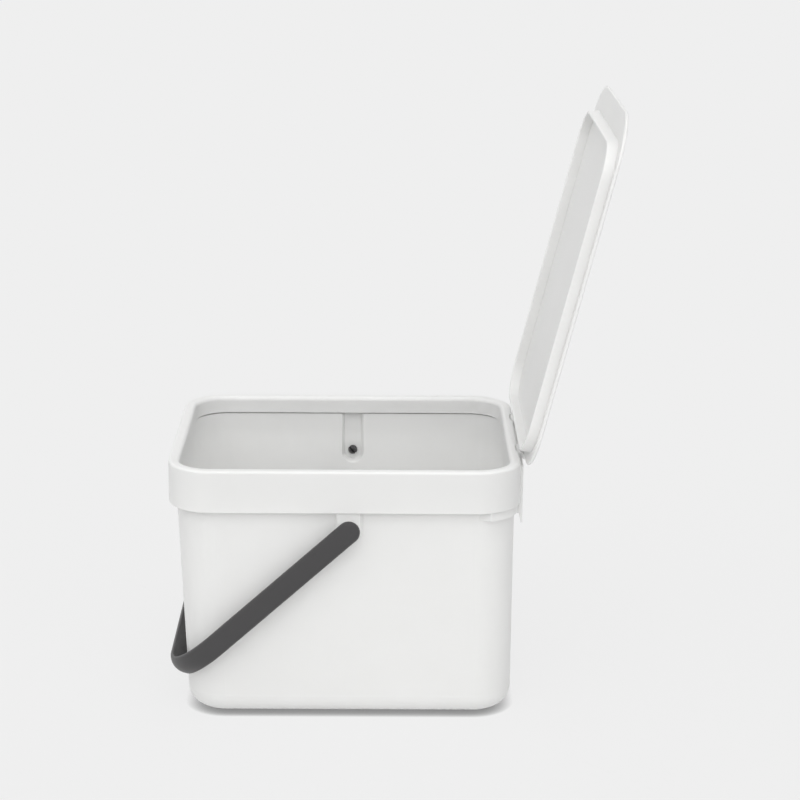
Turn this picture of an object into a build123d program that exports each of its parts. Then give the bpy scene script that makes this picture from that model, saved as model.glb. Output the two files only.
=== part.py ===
"""Small lidded waste bin for a worktop or cupboard door: bucket, drop-on rim ring, hinged lid and bail.

Millimetres, +Z up. The origin is on the floor below the middle of the rim ring.
The front is at -Y and the lid's hinge at +Y.
The bin stands as it does when it is filled: lid fully open, handle resting on the front wall.
"""
from build123d import *
import os
from math import acos, atan2, cos, degrees, hypot, radians, sin, tan

# Rim ring, an inverted channel that hides the bag's edge and carries the hinge
ring_width = 201.2
ring_depth = 250.0
ring_top = 187.9
ring_corner = 32.0
ring_height = 30.6           # outer skirt
band_height = 12.6           # inner skirt
ring_band = 8.0              # width of the flat top
outer_skirt = 2.0
inner_skirt = 1.3
ring_web = 2.4
ring_inner_round = 3.0
ring_outer_round = 1.8
edge_break = 0.4             # free edges of the mouldings

# Bucket, an open tub whose back wall stands upright so that it can hang flush
wall = 1.5
floor_thickness = 2.0
base_side_inset = 11.6       # side walls at the base, inside the ring's outer face
base_front_inset = 11.5      # front wall at the base
back_inset = 4.1             # back wall, all the way up
side_draft = 2.0             # degrees
front_draft = 2.2            # degrees
bucket_corner = 28.5         # upright corners
base_edge = 14.4             # rounding between walls and floor
foot_height = 16.0           # where the draft starts
collar_inset = 3.7           # bucket's upper band, inside the ring's outer face
band_slit = 0.9              # ring's inner skirt to the step inside the bucket
seat_gap = 0.2               # bucket to ring, up and down

# Ledge round the bucket's back corners that the ring stands on
ledge_height = 6.1
ledge_inset = 1.5            # inside the ring's outer face
ledge_start = 90.0           # where it grows out of the side wall
ledge_run = 22.0             # length of that smooth ramp

# Hook plate across the ring's back, which hangs on a rail
hook_width = 136.0
hook_thickness = 2.0         # proud of the ring's back face
hook_drop = 4.9              # top of the plate below the top of the ring
hook_leg = 9.8               # how far its thick part hangs below the ring
hook_tip = 7.0               # height of the tapered tip
hook_tip_thickness = 2.6     # where the tip starts
hook_end_thickness = 1.2
hook_gap = 0.5               # thick part to the bucket's back wall

# Hinge, two lugs under the lid between pairs of ears on the ring
hinge_setback = 0.4          # axis beyond the ring's back face
hinge_drop = 2.7             # axis below the top of the ring
hinge_radius = 2.6           # lugs and ears
pin_radius = 1.5
pin_clearance = 0.08         # radial
ear_thickness = 3.6
lug_width = 14.0
lug_centre = 40.0            # from the middle of the bin
lug_side_gap = 0.4
lug_round_gap = 0.25
heel_reach = 3.1             # lug's stop heel, beyond the axis
heel_inner = 1.0             # where the heel starts
heel_gap = 0.1               # to the hook plate when the lid is open
open_angle = 104.0           # degrees from shut to fully open

# Lid, a flat panel with a plug skirt that drops inside the ring
panel_thickness = 2.5
panel_side_inset = 1.6       # inside the ring's outer face
panel_back_inset = 0.6
panel_overhang = 8.0         # finger lip in front of the ring
panel_front_corner = 36.0
panel_back_corner = 31.0
panel_gap = 0.2              # to the top of the ring when shut
panel_upper_round = 1.2
panel_lower_break = 0.5
skirt_depth = 7.2
skirt_wall = 1.8
skirt_gap = 0.6              # to the ring's mouth at the sides
skirt_front_gap = 3.4
skirt_back_gap = 1.0
skirt_corner = 24.0
skirt_lean = 2.5             # how far the front slopes back towards its free edge

# Pads pressed out of the side walls to carry the handle, open above as shallow channels inside
pivot_y = 3.3
pivot_height = 144.5
pad_gap = 0.4                # pad face to the inside of the ring
pad_half_width = 7.7         # at the face
pad_centre_drop = 1.0        # middle of the round foot below the pivot
pad_side_slope = 29.0        # degrees that its sides lean outwards to the wall
pad_depth = 7.0
pad_top_growth = 0.7         # half width gained from the foot to the top
boss_radius = 6.6            # on the pad, round the handle's pin
boss_gap = 0.3               # boss to the handle's arm

# Handle, a strap bent to a U with a domed grip and a split snap pin at each end
strap_width = 16.0
arm_thickness = 4.5
arm_crown = 0.3              # doming of the outer face
arm_outer_round = 3.0
arm_inner_break = 0.6
grip_thickness = 5.4
grip_crown = 3.4
grip_outer_round = 1.0
grip_inner_break = 0.4
strap_gap = 1.8              # arms to the ring
handle_reach = 171.2         # pivot to the outer face of the grip
handle_bend = 43.7           # outer radius of the two bends
rest_gap = 0.2               # grip to the front wall
stud_radius = 3.0
stud_clearance = 0.07        # radial
barb_radius = 3.5
barb_gap = 0.3               # barb to the inside of the pad
barb_length = 1.4
stud_tip = 3.2               # tapered end beyond the barb
stud_tip_radius = 2.3
stud_slot = 1.2

# Worked out from the sizes above
half_width = ring_width / 2
half_depth = ring_depth / 2
ring_bottom = ring_top - ring_height
band_bottom = ring_top - band_height
bucket_top = ring_top - ring_web - seat_gap
collar_bottom = band_bottom - band_slit - wall
back_wall = half_depth - back_inset
hinge_y = half_depth + hinge_setback
hinge_z = ring_top - hinge_drop
panel_bottom = ring_top + panel_gap
pad_face = half_width - outer_skirt - pad_gap
arm_inner = half_width + strap_gap
arm_outer = arm_inner + arm_thickness


def upright(width, front, back, corner, low, high):
    """Upright block with rounded corners, from front to back in Y and from low to high in Z."""
    outline = RectangleRounded(width, back - front, corner)
    return extrude(Pos(0, (front + back) / 2, low) * outline, high - low)


def ring_block(inset, low, high):
    """Block that follows the ring's outline, drawn in by inset."""
    corner = ring_corner - inset
    return upright(ring_width - 2 * inset, inset - half_depth, half_depth - inset, corner, low, high)


def side_wall(height):
    """X of the bucket's outer side wall at one height."""
    return half_width - base_side_inset + height * tan(radians(side_draft))


def front_wall(height):
    """Y of the bucket's outer front wall at one height."""
    return base_front_inset - half_depth - height * tan(radians(front_draft))


def tub(inset, low, high):
    """Bucket's form, drawn in by inset: an upright foot with a rounded edge, and drafted walls above it."""
    def section(height):
        front = front_wall(height) + inset
        back = back_wall - inset
        outline = RectangleRounded(2 * side_wall(height) - 2 * inset, back - front, bucket_corner - inset)
        return Pos(0, (front + back) / 2, height) * outline
    foot = extrude(section(foot_height), low - foot_height)
    foot = fillet(foot.edges().group_by(Axis.Z)[0], base_edge - inset)
    return foot + loft([section(foot_height), section(high)], ruled=True)


def pad(inset, side):
    """Round-footed strip on one side of the bucket, its face at pad_face less inset."""
    centre = pivot_height - pad_centre_drop
    half = pad_half_width - inset
    upper = half + pad_top_growth
    rise = ring_top - centre
    edge = Polyline((half, 0), (upper, rise), (-upper, rise), (-half, 0))
    foot = ThreePointArc((-half, 0), (0, -half), (half, 0))
    face = Plane.YZ.offset(pad_face - inset) * Pos(pivot_y, centre) * make_face(edge + foot)
    form = extrude(face, -pad_depth, taper=-pad_side_slope)
    return form if side > 0 else mirror(form, Plane.YZ)


def make_ledge():
    """Two solid corner pieces under the ring, each with a ramp on the side wall."""
    low = ring_bottom - seat_gap - ledge_height
    block = ring_block(ledge_inset, low, ring_bottom - seat_gap)
    side = half_width - ledge_inset
    middle = hook_width / 2 + hook_gap
    start = (side_wall(low) - wall / 2, ledge_start)
    end = (side, ledge_start + ledge_run)
    ramp = Spline(start, end, tangents=((0, 1), (0, 1)))
    rest = Polyline(end, (side, half_depth), (middle, half_depth), (middle, ledge_start), start)
    corner = extrude(Pos(0, 0, low) * make_face(ramp + rest), ledge_height)
    return block & (corner + mirror(corner, Plane.YZ))


def pivot_rod(radius, reach):
    """Rod along the handle's axis, out to reach on both sides."""
    return Pos(0, pivot_y, pivot_height) * Rot(0, 90, 0) * Cylinder(radius, 2 * reach)


def make_bucket():
    """Tub with its upper band, ledge, pads and bosses, hollowed with the same forms drawn in by the wall."""
    body = tub(0, 0, bucket_top)
    collar = ring_block(collar_inset, collar_bottom, bucket_top)
    body += collar + make_ledge()
    for side in (1, -1):
        body += split(pad(0, side), Plane.XY.offset(bucket_top), keep=Keep.BOTTOM)
    body += pivot_rod(boss_radius, arm_inner - boss_gap)
    body -= tub(wall, floor_thickness, ring_top)
    body -= ring_block(collar_inset + wall, band_bottom - band_slit, ring_top)
    for side in (1, -1):
        body -= pad(wall, side)
    return body - pivot_rod(stud_radius + stud_clearance, arm_inner)


def hinge_rod(radius, length, centre):
    """Rod along the hinge axis."""
    return Pos(centre, hinge_y, hinge_z) * Rot(0, 90, 0) * Cylinder(radius, length)


def make_ring():
    """Channel ring, its hook plate, and the ears and notches for the lid's lugs."""
    ring = ring_block(0, ring_bottom, ring_top)
    ring = fillet(ring.edges().group_by(Axis.Z)[-1], ring_outer_round)
    mouth = ring_block(ring_band, ring_bottom, ring_top)
    ring -= mouth
    rim = ring.edges().group_by(Axis.Z)[-1].filter_by_position(Axis.X, ring_band - half_width - 0.1,
                                                               half_width - ring_band + 0.1)
    inner = [edge for edge in rim if abs(edge.center().Y) < half_depth - ring_band + 0.1]
    ring = fillet(inner, ring_inner_round)
    channel = ring_block(outer_skirt, band_bottom, ring_top - ring_web)
    channel -= ring_block(ring_band - inner_skirt, band_bottom, ring_top - ring_web)
    ring -= channel + ring_block(outer_skirt, ring_bottom, band_bottom)
    ring = chamfer(ring.edges().group_by(Axis.Z)[0], edge_break)
    outer = half_depth + hook_thickness
    inner_face = back_wall + hook_gap
    profile = Polyline((half_depth - edge_break, ring_top - hook_drop), (outer, ring_top - hook_drop),
                       (outer, ring_bottom - hook_leg - hook_tip),
                       (outer - hook_end_thickness, ring_bottom - hook_leg - hook_tip),
                       (outer - hook_tip_thickness, ring_bottom - hook_leg),
                       (inner_face, ring_bottom - hook_leg), (inner_face, ring_bottom + edge_break),
                       (half_depth - edge_break, ring_bottom + edge_break), close=True)
    plate = extrude(Plane.YZ.offset(-hook_width / 2) * make_face(profile), hook_width)
    ring += plate
    notch = lug_width + 2 * lug_side_gap
    clear = hinge_radius + lug_round_gap
    for side in (1, -1):
        centre = side * lug_centre
        ring += hinge_rod(hinge_radius, notch + 2 * ear_thickness, centre)
        ring -= hinge_rod(clear, notch, centre)
        ring -= Pos(centre, hinge_y, hinge_z + clear) * Box(notch, 2 * clear, 2 * clear)
        ring -= hinge_rod(pin_radius + pin_clearance, notch + 2 * ear_thickness, centre)
    return ring


def skirt_form(inset, edge):
    """Skirt's block, drawn in by inset and at its free edge by edge too, its front sloping back to that edge."""
    def section(drop, draw):
        front = ring_band + skirt_front_gap - half_depth + skirt_lean * drop / skirt_depth + draw
        back = half_depth - ring_band - skirt_back_gap - draw
        half = half_width - ring_band - skirt_gap - draw
        outline = RectangleRounded(2 * half, back - front, skirt_corner - draw)
        return Pos(0, (front + back) / 2, panel_bottom - drop) * outline
    free_edge = section(skirt_depth, inset + edge)
    return loft([free_edge, section(skirt_depth - edge_break, inset), section(0, inset)], ruled=True)


def make_lug(centre):
    """Barrel with a block up to the panel, a stop heel behind it and a pin at each end."""
    hook_face = hinge_y - half_depth - hook_thickness
    turn = radians(open_angle)
    heel = (heel_gap - hook_face - heel_reach * cos(turn)) / sin(turn)
    rise = panel_gap + hinge_drop + panel_lower_break
    lug = hinge_rod(hinge_radius, lug_width, centre)
    lug += Pos(centre, hinge_y - hinge_radius, hinge_z) * Box(
        lug_width, hinge_radius + heel_inner, rise, align=(Align.CENTER, Align.MIN, Align.MIN))
    high = panel_bottom + panel_thickness - hinge_z
    lug += Pos(centre, hinge_y - hinge_radius, hinge_z + heel) * Box(
        lug_width, hinge_radius + heel_reach, high - heel, align=(Align.CENTER, Align.MIN, Align.MIN))
    pins = hinge_rod(pin_radius, lug_width + 2 * (lug_side_gap + ear_thickness), centre)
    return lug + pins


def make_lid():
    """Panel, skirt and lugs, made shut and then turned open about the hinge."""
    half = half_width - panel_side_inset
    front = -half_depth - panel_overhang
    back = half_depth - panel_back_inset
    panel = Pos(0, (front + back) / 2, panel_bottom) * Box(
        2 * half, back - front, panel_thickness, align=(Align.CENTER, Align.CENTER, Align.MIN))
    uprights = panel.edges().filter_by(Axis.Z).group_by(Axis.Y)
    panel = fillet(uprights[0], panel_front_corner)
    uprights = panel.edges().filter_by(Axis.Z).group_by(Axis.Y)
    panel = fillet(uprights[-1], panel_back_corner)
    panel = fillet(panel.edges().group_by(Axis.Z)[-1], panel_upper_round)
    panel = chamfer(panel.edges().group_by(Axis.Z)[0], panel_lower_break)
    lid = panel + (skirt_form(0, edge_break) - skirt_form(skirt_wall, -edge_break))
    for side in (1, -1):
        lid += make_lug(side * lug_centre)
    turned = Rot(-open_angle, 0, 0) * Pos(0, -hinge_y, -hinge_z) * lid
    return Pos(0, hinge_y, hinge_z) * turned


def make_stud():
    """Split pin and barb on the right arm, along +X, centred on the pivot."""
    inside = pad_face - wall - barb_gap
    barb_end = inside - barb_length
    points = [(0, arm_inner + arm_inner_break), (stud_radius, arm_inner + arm_inner_break),
              (stud_radius, inside), (barb_radius, inside), (barb_radius, barb_end),
              (stud_tip_radius, barb_end - stud_tip), (0, barb_end - stud_tip)]
    profile = make_face(Polyline(*[(along, out) for out, along in points], close=True))
    stud = revolve(profile, Axis.X)
    slot_length = pad_face - barb_end + stud_tip
    slot = Pos(pad_face - slot_length, 0, 0) * Box(
        slot_length, stud_slot, 2 * barb_radius, align=(Align.MIN, Align.CENTER, Align.CENTER))
    return stud - slot


def strap_section(thickness, crown, outer_round, inner_break):
    """Strap's cross-section: X from the top of its domed outer face inwards, Y across it."""
    half = strap_width / 2
    dome = ThreePointArc((crown, -half), (0, 0), (crown, half))
    back = Polyline((crown, half), (thickness, half), (thickness, -half), (crown, -half))
    face = make_face(dome + back)
    face = chamfer(face.vertices().group_by(Axis.X)[-1], inner_break)
    return fillet(face.vertices().group_by(Axis.X)[0], outer_round)


def make_handle():
    """Right half of the U, swept from the arm's section to the grip's, mirrored, and turned down to rest."""
    bend_x = arm_outer - handle_bend
    bend_y = handle_bend - handle_reach
    arm_end = Plane((arm_outer, 0, 0), x_dir=(-1, 0, 0), z_dir=(0, -1, 0))
    arm_section = arm_end * strap_section(arm_thickness, arm_crown, arm_outer_round, arm_inner_break)
    grip_end = Plane((bend_x, -handle_reach, 0), x_dir=(0, 1, 0), z_dir=(-1, 0, 0))
    grip_section = grip_end * strap_section(grip_thickness, grip_crown, grip_outer_round, grip_inner_break)
    path = CenterArc((bend_x, bend_y), handle_bend, 0, -90)
    bend = sweep([Pos(0, bend_y, 0) * arm_section, grip_section], path=path, multisection=True)
    round_end = revolve(split(arm_section, Plane.XY, keep=Keep.BOTTOM), Axis.X, 180)
    half = extrude(arm_section, -bend_y) + round_end + bend + extrude(grip_section, bend_x) + make_stud()
    handle = half + mirror(half, Plane.YZ)
    return Pos(0, pivot_y, pivot_height) * Rot(rest_angle(), 0, 0) * handle


def rest_angle():
    """Degrees below level at which the grip's lower inner edge meets the front wall."""
    lean = radians(front_draft)
    away = (pivot_y - front_wall(0)) * cos(lean) + pivot_height * sin(lean)
    along = handle_reach - grip_thickness
    across = strap_width / 2 - grip_inner_break
    edge = acos((away + rest_gap) / hypot(along, across))
    return degrees(lean - atan2(across, along) + edge)


os.makedirs("parts", exist_ok=True)
for name, solid in (("bucket", make_bucket()), ("rim_ring", make_ring()), ("lid", make_lid()),
                    ("handle", make_handle())):
    export_step(solid, f"parts/{name}.step")
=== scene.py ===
"""Small white waste bin with an open lid and a dark grey bail, on a pale studio floor.

Metres, +Z up, the CAD frame: the front is at -Y, the lid's hinge at +Y.
The four moulded pieces are the CAD nodes themselves.
This script gives them their plastics, the light and the camera.
"""

import bpy
from mathutils import Matrix, Vector

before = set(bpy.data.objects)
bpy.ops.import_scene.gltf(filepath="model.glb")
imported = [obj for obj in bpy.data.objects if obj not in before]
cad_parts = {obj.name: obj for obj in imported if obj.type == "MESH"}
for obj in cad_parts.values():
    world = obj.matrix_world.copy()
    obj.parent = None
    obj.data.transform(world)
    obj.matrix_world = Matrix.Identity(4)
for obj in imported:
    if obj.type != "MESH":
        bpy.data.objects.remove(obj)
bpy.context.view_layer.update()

MM = 0.001

# Plastics
polypropylene_ior = 1.49
spark_grain_mm = 0.7         # the tool's grain is finer, and is drawn about a pixel wide so that it shows
rub_mm = 9                   # patches that hands have rubbed
rub_gloss = 0.05             # how far they move the roughness either way

# Camera, fitted to the bin's edges in the photograph
eye_place = (1.5744, 0.0277, 0.6545)
picture_right = (0.0055, 1.0, 0.0069)
picture_up = (-0.2707, -0.0052, 0.9626)
lens_mm = 100
sensor_mm = 36

# Studio: each lobe of light has the side that it comes from, its sharpness and its strength
paper_colour = "#EFEFEF"
paper_reach = 20.0           # half the width of the sheet
main_light = ((1, 0, 1), 6.0, 2.1)
front_light = ((0, -1, 0.3), 4.0, 0.3)
back_light = ((-1, 0, 0.8), 4.0, 0.7)


def linear(hexcode):
    """RGBA in linear light from an sRGB hex colour: each channel's 0 to 1 value, raised by the sRGB curve."""
    part = [int(hexcode[i:i + 2], 16) / 255 for i in (1, 3, 5)]
    return [c / 12.92 if c <= 0.04045 else ((c + 0.055) / 1.055) ** 2.4 for c in part] + [1.0]


def add(tree, kind, links=None, **settings):
    """Adds one node. Settings are the node's own properties, or else sockets by name with a constant value;
    links give a socket the output that feeds it."""
    node = tree.nodes.new(kind)
    for name, value in settings.items():
        if hasattr(node, name):
            setattr(node, name, value)
        else:
            node.inputs[name.replace("_", " ")].default_value = value
    for socket, output in (links or {}).items():
        tree.links.new(output, node.inputs[socket])
    return node


def new_material(name):
    """Empty node material and its tree."""
    material = bpy.data.materials.new(name)
    material.use_nodes = True
    material.node_tree.nodes.clear()
    return material, material.node_tree


def moulded_plastic(name, colour, tint, roughness, grain_depth_mm, flow_mm, glow_mm):
    """Polypropylene moulded in a spark-textured tool: satin, with a fine grain in relief, a broad faint
    difference of tone where the melt flowed and cooled, and handling rubs that are a little glossier.
    Light wanders glow_mm into it, so thin walls let some through; 0 lets none in."""
    material, tree = new_material(name)
    place = add(tree, "ShaderNodeTexCoord").outputs["Object"]
    flow = add(tree, "ShaderNodeTexNoise", {"Vector": place}, Scale=1 / (flow_mm * MM), Detail=2.0)
    tone = add(tree, "ShaderNodeMix", {"Factor": flow.outputs["Fac"]}, data_type="RGBA")
    tone.inputs[6].default_value = linear(colour)
    tone.inputs[7].default_value = linear(tint)
    rub = add(tree, "ShaderNodeTexNoise", {"Vector": place}, Scale=1 / (rub_mm * MM), Detail=5.0,
              Roughness=0.65)
    gloss = add(tree, "ShaderNodeMapRange", {"Value": rub.outputs["Fac"]}, To_Min=roughness - rub_gloss,
                To_Max=roughness + rub_gloss)
    grain = add(tree, "ShaderNodeTexNoise", {"Vector": place}, Scale=1 / (spark_grain_mm * MM), Detail=3.0,
                Roughness=0.6)
    relief = add(tree, "ShaderNodeBump", {"Height": grain.outputs["Fac"]}, Distance=grain_depth_mm * MM,
                 Strength=1.0)
    surface = add(tree, "ShaderNodeBsdfPrincipled", {
        "Base Color": tone.outputs[2],
        "Roughness": gloss.outputs["Result"],
        "Normal": relief.outputs["Normal"]})
    surface.inputs["IOR"].default_value = polypropylene_ior
    if glow_mm:
        surface.inputs["Subsurface Weight"].default_value = 1.0
        surface.inputs["Subsurface Radius"].default_value = (1.0, 1.0, 1.0)
        surface.inputs["Subsurface Scale"].default_value = glow_mm * MM
    add(tree, "ShaderNodeOutputMaterial", {"Surface": surface.outputs["BSDF"]})
    return material


def seen_directly(tree):
    """1 for rays that show a surface as it is, which are camera, mirror-like and see-through ones;
    0 for rays that light it."""
    rays = add(tree, "ShaderNodeLightPath")
    direct = add(tree, "ShaderNodeMath", {0: rays.outputs["Is Camera Ray"], 1: rays.outputs["Is Glossy Ray"]},
                 operation="MAXIMUM")
    direct = add(tree, "ShaderNodeMath", {0: direct.outputs[0], 1: rays.outputs["Is Transmission Ray"]},
                 operation="MAXIMUM")
    return direct.outputs[0]


def seamless_paper(light_share, painted_shadow_mm, painted_shadow_power, lit_from):
    """Pale seamless paper. The camera sees its own even colour, with light_share of the real light mixed in.
    For camera rays the even colour carries a painted contact shadow close to what stands on it: it is
    darkened by the share of the view towards lit_from that is open within the given reach in millimetres,
    raised to the given power. Its reflection in the plastic stays even."""
    material, tree = new_material("seamless_paper")
    paper = add(tree, "ShaderNodeBsdfDiffuse", Color=linear(paper_colour))
    side = add(tree, "ShaderNodeCombineXYZ", X=lit_from[0], Y=lit_from[1], Z=lit_from[2])
    near = add(tree, "ShaderNodeAmbientOcclusion", {"Normal": side.outputs["Vector"]},
               Distance=painted_shadow_mm * MM)
    # Painted contact shadow: the paper's even colour is darkened where the bin's foot closes off the view
    # towards lit_from
    painted_shade = add(tree, "ShaderNodeMath", {0: near.outputs["AO"]}, operation="POWER")
    painted_shade.inputs[1].default_value = painted_shadow_power
    rays = add(tree, "ShaderNodeLightPath")
    glow = add(tree, "ShaderNodeMix", {"Factor": rays.outputs["Is Camera Ray"], 3: painted_shade.outputs[0]})
    glow.inputs[2].default_value = 1.0
    even = add(tree, "ShaderNodeEmission", {"Strength": glow.outputs[0]}, Color=linear(paper_colour))
    share = add(tree, "ShaderNodeMath", {0: seen_directly(tree)}, operation="MULTIPLY")
    share.inputs[1].default_value = 1 - light_share
    mix = add(tree, "ShaderNodeMixShader", {0: share.outputs[0], 1: paper.outputs[0], 2: even.outputs[0]})
    add(tree, "ShaderNodeOutputMaterial", {"Surface": mix.outputs[0]})
    return material


def camera():
    """The photograph's view: a long lens, a little above the bin, looking at its right side.
    It looks against the cross product of the picture's right and up directions."""
    right, up = Vector(picture_right).normalized(), Vector(picture_up).normalized()
    turn = Matrix((right, up, right.cross(up))).transposed().to_4x4()
    data = bpy.data.cameras.new("camera")
    data.lens = lens_mm
    data.sensor_width = sensor_mm
    eye = bpy.data.objects.new("camera", data)
    eye.matrix_world = Matrix.Translation(eye_place) @ turn
    bpy.context.scene.collection.objects.link(eye)
    bpy.context.scene.camera = eye


def studio(*lobes):
    """World light: direct rays see the paper's own colour, lighting rays the sum of broad soft lobes.
    A lobe's light at an angle t from its axis is strength * ((1 + cos t) / 2) ** sharpness."""
    world = bpy.data.worlds.new("studio")
    world.use_nodes = True
    tree = world.node_tree
    tree.nodes.clear()
    toward = add(tree, "ShaderNodeTexCoord").outputs["Generated"]
    total = None
    for axis, sharpness, strength in lobes:
        cosine = add(tree, "ShaderNodeVectorMath", {0: toward}, operation="DOT_PRODUCT")
        cosine.inputs[1].default_value = Vector(axis).normalized()
        share = add(tree, "ShaderNodeMapRange", {"Value": cosine.outputs["Value"]}, From_Min=-1.0)
        lobe = add(tree, "ShaderNodeMath", {0: share.outputs["Result"]}, operation="POWER")
        lobe.inputs[1].default_value = sharpness
        part = add(tree, "ShaderNodeMath", {0: lobe.outputs[0]}, operation="MULTIPLY_ADD")
        part.inputs[1].default_value = strength
        part.inputs[2].default_value = 0.0
        if total:
            tree.links.new(total, part.inputs[2])
        total = part.outputs[0]
    shown = add(tree, "ShaderNodeBackground", Color=linear(paper_colour), Strength=1.0)
    lit = add(tree, "ShaderNodeBackground", {"Strength": total}, Color=[1, 1, 1, 1])
    mix = add(tree, "ShaderNodeMixShader", {0: seen_directly(tree), 1: lit.outputs[0], 2: shown.outputs[0]})
    add(tree, "ShaderNodeOutputWorld", {"Surface": mix.outputs[0]})
    bpy.context.scene.world = world


def floor(material):
    """Square sheet at the height that the bin stands on."""
    mesh = bpy.data.meshes.new("floor")
    mesh.from_pydata([(x * paper_reach, y * paper_reach, 0) for x, y in ((-1, -1), (1, -1), (1, 1), (-1, 1))],
                     [], [(0, 1, 2, 3)])
    mesh.materials.append(material)
    sheet = bpy.data.objects.new("floor", mesh)
    bpy.context.scene.collection.objects.link(sheet)


def dress(node, material):
    """Gives a CAD node its plastic."""
    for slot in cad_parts[node].material_slots:
        slot.material = material


# White polypropylene, injection moulded: clean satin walls, thin enough to let a little light through
white = moulded_plastic("white_polypropylene", "#EBEBEA", "#E7E7E6", roughness=0.46, grain_depth_mm=0.010,
                        flow_mm=60, glow_mm=2.0)
# Grey polypropylene, injection moulded and coloured through: a dark satin strap that lets no light in
grey = moulded_plastic("grey_polypropylene", "#3D3C3D", "#414041", roughness=0.42, grain_depth_mm=0.012,
                       flow_mm=40, glow_mm=0.0)
for node in ("bucket", "rim_ring", "lid"):
    dress(node, white)
dress("handle", grey)

camera()
studio(main_light, front_light, back_light)
# The paper carries a painted contact shadow round the bin's foot, darkest on the side towards the camera
floor(seamless_paper(light_share=0.1, painted_shadow_mm=8, painted_shadow_power=1.2, lit_from=(-1, 0, 0.3)))

bpy.context.scene.view_settings.view_transform = "Standard"
